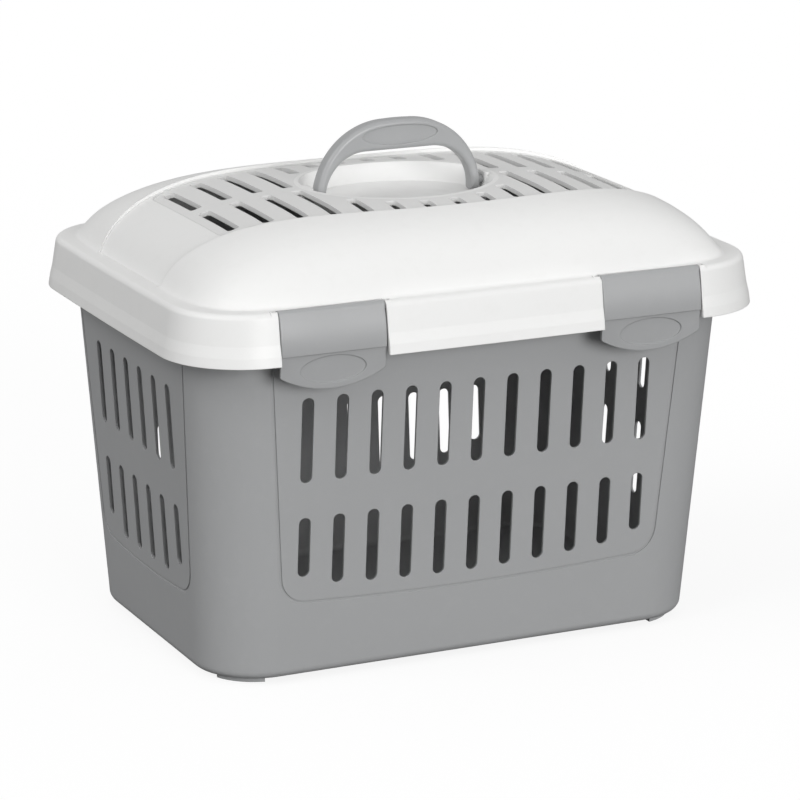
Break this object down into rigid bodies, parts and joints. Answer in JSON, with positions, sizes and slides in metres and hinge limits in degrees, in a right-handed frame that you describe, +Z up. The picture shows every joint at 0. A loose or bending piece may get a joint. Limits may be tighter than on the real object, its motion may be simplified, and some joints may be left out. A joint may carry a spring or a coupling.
{
  "type": "pet carrier",
  "caption": "Top-opening hard plastic pet carrier: slotted tapered tub, domed hinged lid with a fold-down handle, and two swing latches.",
  "frame": {"origin": "on the floor, under the middle of the lid, 3.5 mm in front of the tub's own middle", "axes": "+Z up, +X to the carrier's right along its long side, latches face -Y, hinges on +Y"},
  "size_m": [0.5204, 0.3835, 0.424],
  "materials": {
    "tub_plastic": "mid grey injection-moulded polypropylene, fine matt texture",
    "lid_plastic": "near-white injection-moulded polypropylene, satin",
    "trim_plastic": "light grey injection-moulded polypropylene, satin",
    "pin_steel": "drawn steel wire"
  },
  "bodies": {
    "tub": {"tub": "tub_plastic", "foot_front_left": "tub_plastic", "foot_front_right": "tub_plastic", "foot_rear_left": "tub_plastic", "foot_rear_right": "tub_plastic", "hinge_pin_left": "pin_steel", "hinge_pin_right": "pin_steel"},
    "lid": {"lid": "lid_plastic"},
    "handle": {"handle": "trim_plastic"},
    "latch_left": {"latch_left": "trim_plastic"},
    "latch_right": {"latch_right": "trim_plastic"}
  },
  "joints": [
    {"name": "lid_hinge", "type": "hinge", "parent": "tub", "child": "lid", "pos_m": [0, 0.1863, 0.2823], "axis": [-1, 0, 0], "range_deg": [0, 105]},
    {"name": "handle_fold", "type": "hinge", "parent": "lid", "child": "handle", "pos_m": [0, 0, 0.366], "axis": [1, 0, 0], "range_deg": [-80, 80]},
    {"name": "latch_left_swing", "type": "hinge", "parent": "lid", "child": "latch_left", "pos_m": [-0.1405, -0.1787, 0.3163], "axis": [-1, 0, 0], "range_deg": [0, 110]},
    {"name": "latch_right_swing", "type": "hinge", "parent": "lid", "child": "latch_right", "pos_m": [0.1405, -0.1787, 0.3163], "axis": [-1, 0, 0], "range_deg": [0, 110]}
  ]
}
